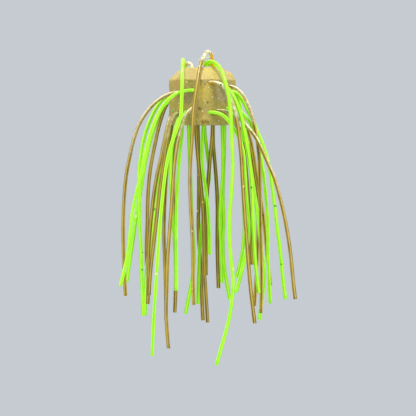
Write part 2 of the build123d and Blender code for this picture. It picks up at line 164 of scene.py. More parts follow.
BROWN_ROUTES = [
    # left front corner: bows widest to the left
    [(-3.6, -4.75, 7.05), (-6.0, -5.25, 7.05), (-8.3, -5.6, 6.25), (-10.45, -5.9, 4.7), (-12.35, -6.1, 2.5),
     (-13.95, -6.2, -0.25), (-15.0, -6.3, -3.4), (-15.8, -6.3, -7.0), (-16.55, -6.3, -11.0),
     (-17.0, -6.2, -16.0), (-17.2, -6.2, -22.0), (-17.1, -6.1, -28.0), (-16.9, -6.1, -33.0),
     (-16.65, -6.1, -37.1)],
    # back left
    [(-4.45, 2.2, 6.3), (-6.6, 4.0, 6.25), (-8.1, 5.2, 4.2), (-9.0, 5.9, 1.7), (-9.8, 6.3, -1.2),
     (-10.5, 6.5, -4.5), (-11.3, 6.6, -8.5), (-11.8, 6.6, -12.5), (-12.05, 6.5, -17.0),
     (-12.1, 6.6, -21.5), (-12.35, 6.7, -26.5), (-12.25, 6.7, -30.7)],
    # left edge, lowest
    [(-6.0, 0.6, 2.3), (-7.15, -1.2, 1.7), (-7.65, -2.5, -0.4), (-8.2, -3.1, -3.1), (-8.8, -3.5, -6.2),
     (-9.7, -3.8, -10.0), (-10.5, -3.9, -14.5), (-11.0, -4.0, -19.0), (-11.45, -4.0, -23.6),
     (-11.8, -4.0, -28.7), (-11.7, -4.0, -33.9), (-11.85, -4.0, -38.9)],
    # left front corner, low
    [(-4.3, -3.4, 2.85), (-5.75, -5.5, 2.6), (-6.9, -6.8, 0.6), (-7.5, -7.4, -2.0), (-8.0, -7.7, -5.0),
     (-8.5, -7.8, -8.5), (-9.3, -7.6, -14.0), (-9.9, -7.4, -20.0), (-10.6, -7.2, -26.0),
     (-11.3, -7.0, -31.5), (-11.6, -6.9, -37.0)],
    # left front face, middle
    [(-1.6, -4.9, 3.85), (-2.5, -7.1, 3.6), (-3.7, -8.4, 1.9), (-4.7, -9.1, -0.6), (-5.3, -9.4, -3.4),
     (-5.9, -9.5, -7.0), (-6.3, -9.5, -11.5), (-6.6, -9.4, -17.0), (-7.1, -9.3, -23.0),
     (-7.55, -9.2, -29.0), (-7.7, -9.1, -35.5), (-7.95, -9.0, -42.0), (-7.3, -9.0, -48.4)],
    # crown, back left: small loop
    [(-2.0, 1.25, 11.5), (-2.2, 1.8, 13.05), (-3.3, 3.0, 13.75), (-4.25, 4.8, 12.3), (-5.2, 6.1, 9.5),
     (-6.1, 6.9, 5.6), (-6.45, 7.1, 1.8), (-6.9, 7.0, -1.8), (-7.45, 7.1, -5.5), (-7.9, 7.1, -10.5),
     (-8.3, 7.1, -17.0), (-8.5, 7.0, -24.0), (-8.2, 6.9, -31.0), (-8.0, 6.8, -37.5),
     (-8.0, 6.7, -42.7)],
    # back left face, low
    [(-3.85, 3.8, 4.5), (-4.9, 6.1, 4.0), (-5.4, 7.4, 1.8), (-5.5, 7.9, -1.4), (-6.1, 8.0, -5.0),
     (-6.4, 8.1, -9.5), (-6.45, 8.1, -15.0), (-6.35, 8.0, -21.0), (-6.0, 7.9, -28.0),
     (-5.8, 7.8, -34.8), (-6.1, 7.8, -41.0)],
    # crown, middle: the tall loop, comes down the front edge
    [(2.1, 1.4, 11.5), (2.2, 1.0, 13.7), (1.85, 0.1, 15.75), (1.0, -1.5, 16.1), (0.1, -3.5, 14.6),
     (-0.6, -5.8, 12.4), (-1.0, -7.9, 9.6), (-1.45, -9.0, 6.6), (-1.9, -9.5, 3.4), (-2.1, -9.7, 0.0),
     (-2.25, -9.7, -4.0), (-2.65, -9.6, -8.5), (-2.75, -9.5, -13.5), (-2.45, -9.4, -19.5),
     (-2.1, -9.3, -25.5), (-2.05, -9.2, -32.3), (-1.85, -9.2, -39.0)],
    # back, left of the middle, high
    [(-1.1, 4.7, 7.0), (-1.3, 7.6, 6.9), (-1.2, 9.9, 3.8), (-1.0, 10.7, -0.5), (-0.95, 10.9, -5.5),
     (-0.8, 10.9, -11.0), (-0.8, 10.8, -17.0), (-1.0, 10.7, -22.5), (-0.6, 10.6, -28.0),
     (-0.3, 10.5, -34.0), (-0.1, 10.5, -39.0), (0.1, 10.5, -42.8)],
    # back, left of the middle, low
    [(-1.5, 4.7, 3.6), (-1.6, 7.1, 2.9), (-1.5, 8.2, 0.6), (-1.35, 8.3, -2.9), (-1.0, 8.2, -7.3),
     (-0.4, 8.1, -12.5), (0.1, 8.0, -18.0), (0.3, 7.9, -24.5), (0.3, 7.8, -31.0), (0.75, 7.7, -37.15),
     (1.1, 7.7, -43.2)],
    # back, right of the middle, low
    [(2.15, 4.3, 4.3), (2.2, 7.1, 3.9), (2.2, 8.6, 1.2), (2.15, 8.9, -2.6), (1.75, 9.0, -6.2),
     (1.35, 9.0, -10.5), (1.0, 9.0, -15.0), (0.7, 8.9, -20.3), (0.7, 8.8, -26.6), (0.75, 8.8, -32.8)],
    # back, right of the middle, high
    [(2.4, 4.2, 7.5), (2.55, 7.0, 7.4), (2.5, 9.8, 4.6), (2.3, 10.4, 0.0), (2.3, 10.5, -4.0),
     (2.8, 10.5, -9.0), (3.2, 10.4, -14.5), (3.3, 10.3, -20.0), (3.2, 10.2, -25.5),
     (3.35, 10.1, -31.0), (3.5, 10.1, -35.7)],
    # right front face, high
    [(0.6, -5.9, 9.1), (2.6, -7.05, 9.35), (4.6, -7.9, 8.4), (5.9, -8.3, 6.0), (6.9, -8.5, 3.4),
     (7.6, -8.7, 0.4), (8.05, -8.8, -3.2), (8.45, -8.9, -7.5), (8.7, -8.9, -12.5), (9.05, -8.9, -18.0),
     (9.5, -8.8, -24.0), (9.95, -8.8, -30.4), (10.5, -8.7, -36.8), (11.3, -8.7, -43.0)],
    # right face, high
    [(4.35, -2.75, 8.5), (6.6, -3.7, 8.45), (8.5, -4.4, 7.0), (9.8, -4.9, 4.6), (10.8, -5.2, 1.9),
     (11.4, -5.4, -0.8), (12.0, -5.5, -4.0), (12.35, -5.6, -8.0), (12.5, -5.6, -13.0),
     (12.6, -5.6, -19.0), (12.7, -5.5, -26.5), (12.85, -5.4, -33.8), (12.65, -5.4, -40.9)],
    # right front face, low: bows widest to the right
    [(2.25, -5.35, 3.0), (4.2, -5.98, 3.15), (6.2, -6.45, 2.65), (7.9, -6.6, 1.5), (9.7, -6.7, -0.5),
     (11.4, -6.8, -2.4), (12.8, -6.9, -5.2), (14.1, -6.9, -8.2), (15.6, -6.9, -11.5),
     (16.8, -6.9, -15.8), (17.9, -6.8, -20.5), (18.75, -6.8, -25.5), (19.3, -6.7, -30.0),
     (19.65, -6.7, -34.3), (20.1, -6.7, -37.8)],
    # right edge, middle
    [(4.8, 1.35, 6.4), (7.0, 2.35, 5.95), (8.1, 3.25, 3.8), (8.8, 4.1, 1.6), (10.1, 4.5, -1.6),
     (11.0, 4.7, -5.2), (11.6, 4.7, -9.2), (12.15, 4.7, -13.3), (13.1, 4.6, -18.0),
     (13.7, 4.6, -23.5), (14.2, 4.5, -29.3), (14.9, 4.5, -35.0)],
    # right back face, low
    [(2.6, 4.4, 3.0), (3.9, 6.4, 3.0), (5.9, 8.1, 2.0), (7.4, 9.2, 0.3), (8.4, 9.7, -2.0),
     (9.1, 9.8, -5.5), (9.6, 9.8, -10.0), (10.0, 9.7, -15.0), (10.3, 9.6, -20.5), (10.5, 9.5, -26.0),
     (10.9, 9.5, -30.5)],
    # right back face, lowest
    [(2.85, 4.45, 1.6), (4.6, 6.2, 1.6), (6.6, 7.6, 1.0), (8.6, 8.0, -0.8), (10.0, 8.2, -3.6),
     (10.8, 8.2, -7.0), (11.5, 8.2, -11.5), (12.1, 8.1, -17.0), (12.2, 8.0, -23.0),
     (12.0, 7.9, -29.0), (11.7, 7.9, -34.5), (11.4, 7.8, -39.6)],
]


def opened(point):
    """A route's point, moved out to the front or back by how far down it hangs."""
    x, y, z = point
    fallen = min(max((OPENING_TOP - z) / OPENING_FALL, 0.0), 1.0)
    return (x, y * (1 + OPENING_MOST * fallen), z)
GREEN_LENGTHS = [50.6, 52.4, 43.5, 47.5, 40.6, 41.8, 73.6, 50.7, 47.5, 33.3, 43.4, 50.5, 79.3, 41.7, 44.9,
                 49.5, 52.8, 47.5, 49.3]
BROWN_LENGTHS = [50.9, 41.1, 43.7, 43.3, 55.8, 61.5, 48.1, 64.6, 53.6, 49.0, 40.0, 47.2, 57.0, 53.5, 48.3,
                 44.7, 39.1, 47.1]

# The skirt opens out to the front and back as it falls
OPENING_TOP = 2.0  # height where it starts, mm
OPENING_FALL = 40.0  # fall over which it builds up, mm
OPENING_MOST = 0.45  # share added to a strand's depth by then

# Stretches of strands painted paler or oranger: from and to, in mm along the strand, and how far it goes. The
# pale stretches are painted top highlight, on the crown loop's torn leg also real tearing; the orange ones are
# painted glow of light shining through.
PALE_AND_HIGHLIT_STRETCHES = {"strand_brown_08": [(4.6, 9.4, 1.0)], "strand_brown_06": [(0.0, 2.6, 1.0)],
            "strand_brown_13": [(3.0, 12.0, 0.65)], "strand_brown_14": [(3.0, 12.0, 0.45)],
            "strand_brown_01": [(3.0, 20.0, 0.25)], "strand_brown_05": [(2.0, 10.0, 0.4)],
            "strand_brown_15": [(2.0, 10.0, 0.3)], "strand_brown_04": [(2.0, 9.0, 0.3)],
            "strand_green_07": [(3.5, 8.5, 0.8)], "strand_green_16": [(3.5, 6.5, 0.5)]}
# orange stretches: painted glow of light shining through the strand from behind
GLOW_STRETCHES = {"strand_brown_08": [(0.0, 4.8, 1.0)], "strand_brown_06": [(2.6, 7.0, 1.0)],
           "strand_brown_13": [(0.0, 2.3, 0.5)]}

# How strongly the top of each strand's bends is painted pale, a painted top highlight: by its colour, unless it
# has a value of its own
PAINTED_HIGHLIGHT_BY_COLOUR = {"green": 0.6, "brown": 1.0}
PAINTED_TOP_HIGHLIGHT = {"strand_brown_01": 0.75, "strand_brown_03": 0.35, "strand_brown_04": 0.4,
                 "strand_brown_05": 0.7, "strand_brown_08": 0.1, "strand_green_01": 0.4,
                 "strand_green_07": 0.35, "strand_green_13": 0.3, "strand_green_15": 0.4}

# Torn slivers: root and tip of each, in mm
FRAYS = {"strand_brown_08": [((-0.1, -4.3, 13.9), (-1.0, -4.5, 14.35)), ((-0.3, -4.8, 13.5), (-0.95, -5.1, 13.2)),
                             ((0.45, -3.3, 14.5), (1.75, -1.6, 15.0)), ((0.4, -4.0, 13.95), (1.05, -4.1, 13.95)),
                             ((1.95, 0.2, 15.3), (2.55, 0.1, 15.75)), ((0.9, -2.3, 15.9), (0.5, -2.9, 16.35)),
                             ((-0.5, -5.4, 12.9), (-1.15, -5.7, 12.7)), ((0.1, -3.9, 14.3), (-0.45, -4.2, 14.75)),
                             ((-0.4, -5.2, 13.0), (0.25, -5.6, 12.75)), ((0.3, -3.5, 14.7), (0.0, -4.1, 15.2))]}
FRAY_STEPS = 7
FRAY_WIDTH = 0.17 * MM
FRAY_TAPER = 0.8
FRAY_FLATNESS = 0.4
FRAY_CURL = 0.15


# ---------------------------------------------------------------- meshes

def add_piece(name, vertices, faces, material):
    """A new mesh piece of the object, riding on its one body."""
    mesh = bpy.data.meshes.new(name)
    mesh.from_pydata([tuple(v) for v in vertices], [], faces)
    mesh.update()
    mesh.polygons.foreach_set("use_smooth", [True] * len(mesh.polygons))
    mesh.materials.append(material)
    piece = bpy.data.objects.new(name, mesh)
    bpy.context.scene.collection.objects.link(piece)
    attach(piece, "root")
    return piece


def ring_faces(ring_count, ring_size):
    """Quads between rings of vertices that follow each other."""
    faces = []
    for ring in range(ring_count - 1):
        start, after = ring * ring_size, (ring + 1) * ring_size
        for i in range(ring_size):
            j = (i + 1) % ring_size
            faces.append((start + i, start + j, after + j, after + i))
    return faces


# ---------------------------------------------------------------- strands

SECTION_POINTS = 16
SECTION_POWER = 3.2
SECTION_SHARE = 0.93  # of the strand's radius, across its flats
SECTION_TWIST = 7.0  # radians per metre
SECTION_LEAN = 0.3
THICKNESS_WANDER = 0.05
LUMP_SPACING = 2.6 * MM
SPLINE_STEPS = 10
END_ROUNDING = 0.09 * MM
START_SHARES = (0.55, 0.98)  # of the full thickness, at the end inside the plug
END_SHARES = (0.86, 0.5)  # and at the cut end
STRETCH_FADE = 1.2  # mm
HIGHLIGHT_START, HIGHLIGHT_RANGE = 0.14, 0.32  # of how far the skin faces up


def opened(point):
    """A route's point, moved out to the front or back by how far down it hangs."""
    x, y, z = point
    fallen = min(max((OPENING_TOP - z) / OPENING_FALL, 0.0), 1.0)
    return x, y * (1 + OPENING_MOST * fallen), z


def route_line(points):
    """The smooth line of a route: a NURBS spline with the route's points as its control points."""
    curve = bpy.data.curves.new("route", "CURVE")
    curve.dimensions = "3D"
    spline = curve.splines.new("NURBS")
    spline.points.add(len(points) - 1)
    for control, (x, y, z) in zip(spline.points, points):
        control.co = (x * MM, y * MM, z * MM, 1)
    spline.order_u = 3
    spline.use_endpoint_u = True
    spline.resolution_u = SPLINE_STEPS
    route = bpy.data.objects.new("route", curve)
    mesh = bpy.data.meshes.new_from_object(route)
    line = [vertex.co.copy() for vertex in mesh.vertices]
    bpy.data.objects.remove(route)
    bpy.data.curves.remove(curve)
    bpy.data.meshes.remove(mesh)
    return line


def section(angle):
    """Radius of the strand's rounded-square section, as a share of its nominal radius."""
    power_sum = abs(math.cos(angle)) ** SECTION_POWER + abs(math.sin(angle)) ** SECTION_POWER
    return SECTION_SHARE * power_sum ** (-1 / SECTION_POWER)


def strand_mesh(line, seed):
    """Rings of vertices along a line, with a slowly turning section, lumps and a cut end."""
    shift = Vector((seed * 7.3, seed * 3.1, seed * 1.7))
    stations = [(line[0], share) for share in START_SHARES]
    stations += [(point, 1.0) for point in line[1:-1]]
    last_step = (line[-1] - line[-2]).normalized()
    stations += [(line[-1] - last_step * END_ROUNDING, 1.0)]
    stations += [(line[-1], share) for share in END_SHARES]
    side = Vector((0.2, 1, 0.1))
    travelled = 0.0
    marks = []
    vertices = []
    for number, (point, share) in enumerate(stations):
        before = stations[max(number - 1, 0)][0]
        after = stations[min(number + 1, len(stations) - 1)][0]
        if (after - before).length < 1e-9:
            before, after = line[-2], line[-1]
            if number < 2:
                before, after = line[0], line[1]
        along = (after - before).normalized()
        side = (side - along * side.dot(along)).normalized()
        up = along.cross(side)
        travelled += (point - stations[max(number - 1, 0)][0]).length
        marks.append(travelled)
        lump = noise.noise(point / LUMP_SPACING + shift)
        thickness = STRAND_RADIUS * share * (1 + THICKNESS_WANDER * lump)
        twist = SECTION_LEAN * math.sin(seed * 2.4) + travelled * SECTION_TWIST * math.cos(seed * 1.7)
        for i in range(SECTION_POINTS):
            angle = 2 * math.pi * i / SECTION_POINTS
            reach = thickness * section(angle)
            turned = angle + twist
            vertices.append(point + (side * math.cos(turned) + up * math.sin(turned)) * reach)
    faces = ring_faces(len(stations), SECTION_POINTS)
    last = (len(stations) - 1) * SECTION_POINTS
    faces.append(tuple(reversed(range(SECTION_POINTS))))
    faces.append(tuple(last + i for i in range(SECTION_POINTS)))
    return vertices, faces, marks


def store(piece, name, values):
    """Store one number for each vertex of a mesh, for its material to read."""
    attribute = piece.data.attributes.new(name, "FLOAT", "POINT")
    attribute.data.foreach_set("value", values)


def painted_top_highlight(piece, most):
    """How strongly each vertex is painted pale as a top highlight, by how far its skin faces up."""
    return [most * min(max((vertex.normal.z - HIGHLIGHT_START) / HIGHLIGHT_RANGE, 0.0), 1.0)
            for vertex in piece.data.vertices]


def wear(marks, stretches):
    """How far each vertex of a strand takes its stretches' tint, from 0 to 1, by the stretches given along it:
    painted highlight, painted glow or wear.
    """
    values = []
    for mark in marks:
        here = mark / MM
        amount = 0.0
        for start, end, most in stretches:
            inside = min(here - start, end - here) / STRETCH_FADE + 0.5
            amount = max(amount, most * min(max(inside, 0.0), 1.0))
        values += [amount] * SECTION_POINTS
    return values


def outside(point):
    """How far a point lies outside the plug's plain octagonal shape: below zero inside it."""
    heading = math.atan2(point.y, point.x)
    nearest_face = (math.floor(heading / (2 * HALF_SIDE_ANGLE)) + 0.5) * 2 * HALF_SIDE_ANGLE
    reach = math.hypot(point.x, point.y) * math.cos(heading - nearest_face)
    shoulder = (reach + point.z - APOTHEM - BODY_HEIGHT + CROWN_CHAMFER) / math.sqrt(2)
    return max(reach - APOTHEM, point.z - BODY_HEIGHT, -point.z, shoulder)


def mouth_of(line):
    """Where a strand's line comes out of the plug."""
    for before, after in zip(line, line[1:]):
        inside, out = outside(before), outside(after)
        if inside <= 0 < out:
            return before.lerp(after, inside / (inside - out))
    return line[0]


def make_frays(node, material):
    """Torn slivers of a strand's skin: each a thin tapered blade that curls a little."""
    vertices, faces = [], []
    for root, tip in FRAYS[node]:
        root, tip = Vector(root) * MM, Vector(tip) * MM
        along = tip - root
        across = along.cross(Vector((0, 1, 0.2))).normalized()
        thick = along.cross(across).normalized()
        first = len(vertices)
        for step in range(FRAY_STEPS):
            share = step / (FRAY_STEPS - 1)
            width = FRAY_WIDTH * (1 - FRAY_TAPER * share)
            curl = thick * (along.length * FRAY_CURL * math.sin(math.pi * share))
            middle = root + along * share + curl
            vertices += [middle + across * width, middle + thick * width * FRAY_FLATNESS,
                         middle - across * width, middle - thick * width * FRAY_FLATNESS]
        faces += [tuple(first + i for i in face) for face in ring_faces(FRAY_STEPS, 4)]
        last = first + 4 * (FRAY_STEPS - 1)
        faces += [tuple(first + i for i in (3, 2, 1, 0)), tuple(last + i for i in range(4))]
    piece = add_piece(f"{node}_frays", vertices, faces, material)
    store(piece, "paled_and_highlit", [1.0] * len(vertices))
    return [piece]


def make_strand(colour, number, points, material):
    """One strand with its painted highlights, painted glow and wear; gives back where it leaves the plug."""
    line = route_line([opened(point) for point in points])
    seed = number + (40 if colour == "brown" else 0)
    vertices, faces, marks = strand_mesh(line, seed)
    node = f"strand_{colour}_{number:02d}"
    piece = add_piece(f"{node}_tail", vertices, faces, material)
    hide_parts(node)
    highlight_most = PAINTED_TOP_HIGHLIGHT.get(node, PAINTED_HIGHLIGHT_BY_COLOUR[colour])
    paled_and_highlit = zip(wear(marks, PALE_AND_HIGHLIT_STRETCHES.get(node, ())), painted_top_highlight(piece, highlight_most))
    store(piece, "paled_and_highlit", [max(pair) for pair in paled_and_highlit])
    store(piece, "backlight_glow", wear(marks, GLOW_STRETCHES.get(node, ())))
    # painted highlight along the corners of each strand's section, which turn with its twist
    corner_highlights = [abs(math.sin(4 * math.pi * i / SECTION_POINTS)) ** 3 for i in range(SECTION_POINTS)]
    store(piece, "arris_highlight", corner_highlights * len(marks))
    frays = make_frays(node, material) if node in FRAYS else []
    mouth = mouth_of(line)
    return mouth


# ---------------------------------------------------------------- plug

COLUMNS = 320
PROFILE_STEP = 0.16 * MM
PROFILE_ROUNDING = 0.2 * MM
CORNER_ROUNDING = 0.9 * MM
FACE_HOLLOW = 0.16 * MM
SHOULDER_SWELL = 0.10 * MM
UNEVENNESS = 0.10 * MM
UNEVEN_SPACING = 4.5 * MM
GRAIN = 0.018 * MM
GRAIN_SPACING = 0.45 * MM
MOUTH_RADIUS = 0.75 * MM
MOUTH_DEPTH = 0.22 * MM
MOUTH_RIM = 0.09 * MM
RIM_SPREAD = 1.9  # of the mouth's radius
SIDE_FROM = 0.93  # of the apothem: points beyond it lie on the sides
CROWN_LEAN = 1.06  # how fast the chamfer runs back as it rises
AXIS_GAP = 0.02 * MM


def rounded_profile():
    """(reach, height) pairs from the middle of the underside, up the side and over to the crown's middle."""
    corners = [(AXIS_GAP, 0), (APOTHEM, 0), (APOTHEM, BODY_HEIGHT - CROWN_CHAMFER),
               (APOTHEM - CROWN_CHAMFER, BODY_HEIGHT), (AXIS_GAP, BODY_HEIGHT)]
    corners = [np.array(corner, float) for corner in corners]
    pieces = [corners[0]]
    for before, corner, after in zip(corners, corners[1:], corners[2:]):
        start = corner + (before - corner) / np.linalg.norm(before - corner) * PROFILE_ROUNDING
        end = corner + (after - corner) / np.linalg.norm(after - corner) * PROFILE_ROUNDING
        for t in np.linspace(0, 1, 6):
            pieces.append((1 - t) ** 2 * start + 2 * t * (1 - t) * corner + t ** 2 * end)
    pieces.append(corners[-1])
    profile = []
    for a, b in zip(pieces, pieces[1:]):
        steps = max(1, round(np.linalg.norm(b - a) / PROFILE_STEP))
        profile += [a + (b - a) * k / steps for k in range(steps)]
    return profile + [pieces[-1]]


def octagon_reach(angle, apothem):
    """Distance from the axis to the octagon's outline, its corners rounded."""
    off_face = (angle % (2 * HALF_SIDE_ANGLE)) - HALF_SIDE_ANGLE
    plain = apothem / math.cos(off_face)
    rounding = min(CORNER_ROUNDING, 0.9 * apothem)
    arc_centre = (apothem - rounding) / math.cos(HALF_SIDE_ANGLE)
    if abs(off_face) <= math.atan2(arc_centre * math.sin(HALF_SIDE_ANGLE), apothem):
        return plain
    off_corner = HALF_SIDE_ANGLE - abs(off_face)
    across = arc_centre * math.sin(off_corner)
    return arc_centre * math.cos(off_corner) + math.sqrt(rounding**2 - across**2)


def smooth_bump(distance, radius):
    """1 in the middle, 0 from the radius on."""
    share = np.clip(1 - distance / radius, 0, 1)
    return share * share * (3 - 2 * share)


def on_front(x, z):
    """A point on the plug's front, by its place across and its height, in millimetres."""
    reach = CORNER_REACH / MM
    inner = reach * math.sin(math.pi / 4)
    slope = math.tan(HALF_SIDE_ANGLE)
    y = -(reach - slope * abs(x)) if abs(x) <= inner else -(reach - abs(x)) / slope
    shoulder = (BODY_HEIGHT - CROWN_CHAMFER) / MM
    if z > shoulder:
        y += (z - shoulder) * CROWN_LEAN
    return np.array((x, y, z)) * MM


# place on the front in mm, radius in mm, depth in mm (below zero stands out)
PITS = [(-0.95, 3.35, 0.55, 0.30), (-0.55, 3.15, 0.40, 0.22), (-5.3, 1.8, 0.5, 0.35), (-5.8, 2.6, 0.4, 0.25),
        (-7.0, 1.2, 0.5, 0.3), (1.05, 4.75, 0.3, 0.12), (-0.1, 0.35, 0.6, 0.35), (0.75, 0.55, 0.5, 0.4),
        (1.3, 0.15, 0.45, 0.3), (5.55, 11.9, 0.45, 0.28), (-6.45, -0.1, 0.5, -0.35), (1.9, 9.35, 0.5, 0.25),
        (6.4, 11.2, 1.7, -0.62), (-7.3, 8.6, 0.8, -0.1), (-7.3, 2.0, 0.8, -0.1), (1.2, 9.1, 0.35, 0.2),
        (2.3, 3.4, 0.35, -0.15)]


def make_plug(mouths, material):
    """The plug: a rounded octagon, its faces hollow, with a lip and a dip round each strand's mouth."""
    profile = rounded_profile()
    angles = [2 * math.pi * i / COLUMNS for i in range(COLUMNS)]
    points = np.array([(octagon_reach(a, reach) * math.cos(a), octagon_reach(a, reach) * math.sin(a), height)
                       for reach, height in profile for a in angles])
    rows = len(profile)
    grid = points.reshape(rows, COLUMNS, 3)
    along = np.gradient(grid, axis=0)
    round_it = np.roll(grid, -1, axis=1) - np.roll(grid, 1, axis=1)
    normals = np.cross(round_it, along).reshape(-1, 3)
    normals /= np.maximum(np.linalg.norm(normals, axis=1, keepdims=True), 1e-12)

    push = np.zeros(len(points))
    heading = np.arctan2(points[:, 1], points[:, 0])
    off_face = (heading % (2 * HALF_SIDE_ANGLE)) - HALF_SIDE_ANGLE
    across = np.cos(off_face / HALF_SIDE_ANGLE * math.pi / 2) ** 2
    up_side = np.clip(points[:, 2] / (BODY_HEIGHT - CROWN_CHAMFER), 0, 1)
    from_axis = np.linalg.norm(points[:, :2], axis=1)
    on_side = from_axis > APOTHEM * SIDE_FROM
    push -= FACE_HOLLOW * across * np.sin(np.pi * up_side) * on_side
    over_shoulder = np.clip((points[:, 2] - BODY_HEIGHT + CROWN_CHAMFER) / CROWN_CHAMFER, 0, 1)
    push += SHOULDER_SWELL * np.sin(np.pi * over_shoulder) * (from_axis > APOTHEM - CROWN_CHAMFER)
    for i, point in enumerate(points):
        spot = Vector(point)
        push[i] += UNEVENNESS * noise.noise(spot / UNEVEN_SPACING)
        push[i] += GRAIN * noise.noise(spot / GRAIN_SPACING)
    for mouth in mouths:
        distance = np.linalg.norm(points - np.array(mouth), axis=1)
        push += MOUTH_RIM * smooth_bump(distance, RIM_SPREAD * MOUTH_RADIUS)
        push -= (MOUTH_DEPTH + MOUTH_RIM) * smooth_bump(distance, MOUTH_RADIUS)
    for x, z, radius, depth in PITS:
        distance = np.linalg.norm(points - on_front(x, z), axis=1)
        push -= depth * MM * smooth_bump(distance, radius * MM)
    points += normals * push[:, None]
    points[:, 2] = np.clip(points[:, 2], 0, None)

    faces = ring_faces(rows, COLUMNS)
    faces.append(tuple(reversed(range(COLUMNS))))
    faces.append(tuple((rows - 1) * COLUMNS + i for i in range(COLUMNS)))
    plug = add_piece("lure_plug", points, faces, material)
    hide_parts("lure_body")


# ---------------------------------------------------------------- materials

def linear(hex_colour):
    """A linear colour from the usual six-digit notation."""
    channels = [int(hex_colour[i:i + 2], 16) / 255 for i in (0, 2, 4)]
    return (*[c / 12.92 if c <= 0.04045 else ((c + 0.055) / 1.055) ** 2.4 for c in channels], 1.0)


def new_material(name, settings):
    material = bpy.data.materials.new(name)
    material.use_nodes = True
    shader = material.node_tree.nodes["Principled BSDF"]
    for socket, value in settings.items():
        shader.inputs[socket].default_value = value
    return material, material.node_tree, shader


def add_node(tree, kind, settings=None, **properties):
    node = tree.nodes.new(kind)
    for name, value in properties.items():
        setattr(node, name, value)
    for socket, value in (settings or {}).items():
        node.inputs[socket].default_value = value
    return node


def noise_factor(tree, place, scale, low, high, detail=3.0, most=1.0):
    """A soft noise pattern, stretched so that low becomes 0 and high becomes the most."""
    pattern = add_node(tree, "ShaderNodeTexNoise", {"Scale": scale, "Detail": detail})
    tree.links.new(place, pattern.inputs["Vector"])
    stretch = add_node(tree, "ShaderNodeMapRange", {"From Min": low, "From Max": high, "To Max": most})
    tree.links.new(pattern.outputs["Fac"], stretch.inputs["Value"])
    return stretch.outputs["Result"]


def mixed(tree, factor, first, second):
    """A mix of two colours, each a colour or another node's output."""
    mix = add_node(tree, "ShaderNodeMix", data_type="RGBA")
    tree.links.new(factor, mix.inputs["Factor"])
    colour_inputs = [socket for socket in mix.inputs if socket.type == "RGBA"]
    for socket, colour in zip(colour_inputs, (first, second)):
        if isinstance(colour, tuple):
            socket.default_value = colour
        else:
            tree.links.new(colour, socket)
    return [output for output in mix.outputs if output.type == "RGBA"][0]


def fleck_factor(tree, place, cell_scale, share, radius):
    """1 inside sparse small round flecks: one cell in so many holds one."""
    cells = add_node(tree, "ShaderNodeTexVoronoi", {"Scale": cell_scale})
    tree.links.new(place, cells.inputs["Vector"])
    chosen = add_node(tree, "ShaderNodeSeparateColor")
    tree.links.new(cells.outputs["Color"], chosen.inputs["Color"])
    few = add_node(tree, "ShaderNodeMath", operation="LESS_THAN")
    few.inputs[1].default_value = share
    tree.links.new(chosen.outputs[0], few.inputs[0])
    near = add_node(tree, "ShaderNodeMath", operation="LESS_THAN")
    near.inputs[1].default_value = radius
    tree.links.new(cells.outputs["Distance"], near.inputs[0])
    both = add_node(tree, "ShaderNodeMath", operation="MULTIPLY")
    tree.links.new(few.outputs[0], both.inputs[0])
    tree.links.new(near.outputs[0], both.inputs[1])
    return both.outputs[0]


def add_bump(tree, shader, height, strength, distance):
    bump = add_node(tree, "ShaderNodeBump", {"Strength": strength, "Distance": distance})
    tree.links.new(height, bump.inputs["Height"])
    tree.links.new(bump.outputs["Normal"], shader.inputs["Normal"])


def near_factor(tree, place, centre, inner, outer):
    """1 close to a point given in mm, 0 beyond the outer distance."""
    apart = add_node(tree, "ShaderNodeVectorMath", operation="DISTANCE")
    apart.inputs[1].default_value = [c * MM for c in centre]
    tree.links.new(place, apart.inputs[0])
    fade = add_node(tree, "ShaderNodeMapRange", {"From Min": outer * MM, "From Max": inner * MM},
                    interpolation_type="SMOOTHSTEP")
    tree.links.new(apart.outputs["Value"], fade.inputs["Value"])
    return fade.outputs["Result"]


CROWN_FADE = 0.2 * MM  # half the height over which the sides' colour gives way to the crown's

# centre of a patch in mm, where it is full and where it ends, and its colour
# the dark patches at the pits and holes are painted shade in those hollows, the yellow one down the front edge is
# painted light through the thin edge, the pale one on the right front face is painted light that lifts the
# strands' shadow, and the two large ones on the left front are a greyer and a paler patch
PLUG_SHADE_AND_LIGHT_PATCHES = [((0.9, -7.0, 7.4), 0.5, 2.6, "C6AC3C"), ((-0.8, -7.0, 3.4), 0.1, 0.55, "6E5010"),
               ((0.2, -7.1, 0.5), 0.1, 0.8, "8A7010"), ((1.1, -6.8, 0.6), 0.1, 0.6, "8A6C10"),
               ((-5.6, -4.3, 2.2), 0.1, 0.6, "5E4610"), ((-5.2, -4.9, 2.8), 0.1, 0.5, "7E6218"),
               ((-3.6, -5.9, 6.0), 0.8, 2.6, "9A8650"), ((2.0, -6.5, 9.3), 0.2, 0.9, "A8801C"),
               ((-5.5, -4.6, 8.9), 0.5, 2.8, "C49A46"), ((1.1, -6.8, 4.8), 0.05, 0.4, "6A5A30"),
               ((4.2, -5.3, 6.5), 0.8, 2.6, "B8A070")]


